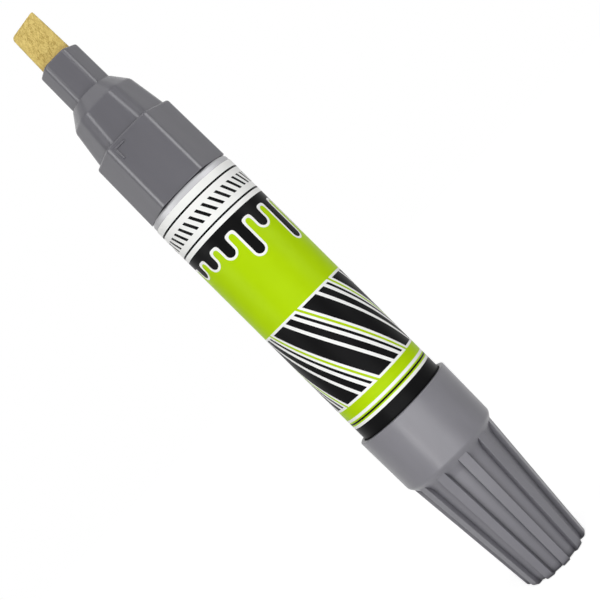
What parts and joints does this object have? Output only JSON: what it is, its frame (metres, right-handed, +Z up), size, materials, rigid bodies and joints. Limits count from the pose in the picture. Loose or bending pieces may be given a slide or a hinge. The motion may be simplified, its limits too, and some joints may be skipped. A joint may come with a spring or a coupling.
{
  "type": "paint marker",
  "caption": "Valve-action paint marker with a chisel felt nib, hexagonal stepped nose, wrapped aluminium barrel and a ribbed cap posted on its rear end.",
  "frame": {"origin": "centre of the cap's flat closed end, on the marker's axis, at the floor", "axes": "+Z up the marker's axis from the posted cap to the nib; -Y is the way the nib's broad flat face and one collar flat look"},
  "size_m": [0.0222, 0.0222, 0.1464],
  "materials": {
    "felt": "matt pressed felt",
    "nose_plastic": "satin moulded",
    "barrel_aluminium": "drawn, satin",
    "label_film": "printed film",
    "cap_plastic": "satin moulded",
    "liner_plastic": "natural polyethylene",
    "seal_rubber": "matt",
    "valve_plastic": "natural moulded",
    "spring_steel": "drawn wire",
    "ball_steel": "polished"
  },
  "bodies": {
    "barrel": {"barrel_tube": "barrel_aluminium", "label_wrap": "label_film", "nose_collar": "nose_plastic", "collar_seal_ring": "seal_rubber", "valve_seat": "valve_plastic", "seat_gasket": "seal_rubber", "valve_spring": "spring_steel", "valve_case": "valve_plastic"},
    "nib_unit": {"nib": "felt", "valve_rod": "valve_plastic"},
    "cap": {"cap_shell": "cap_plastic", "cap_seal_cup": "liner_plastic"},
    "ball_1": {"mixing_ball_1": "ball_steel"},
    "ball_2": {"mixing_ball_2": "ball_steel"}
  },
  "joints": [
    {"name": "nib_press", "type": "slide", "parent": "barrel", "child": "nib_unit", "axis": [0, 0, -1], "range_m": [0, 0.002], "stiffness_N_per_m": 600, "springref_m": -0.003, "deforming": ["valve_spring"]},
    {"name": "cap_pull", "type": "slide", "parent": "cap", "child": "barrel", "axis": [0, 0, 1], "range_m": [0, 0.03]},
    {"name": "ball_1_travel", "type": "slide", "parent": "barrel", "child": "ball_1", "axis": [0, 0, 1], "range_m": [0, 0.053]},
    {"name": "ball_2_travel", "type": "slide", "parent": "barrel", "child": "ball_2", "axis": [0, 0, 1], "range_m": [0, 0.053]}
  ]
}
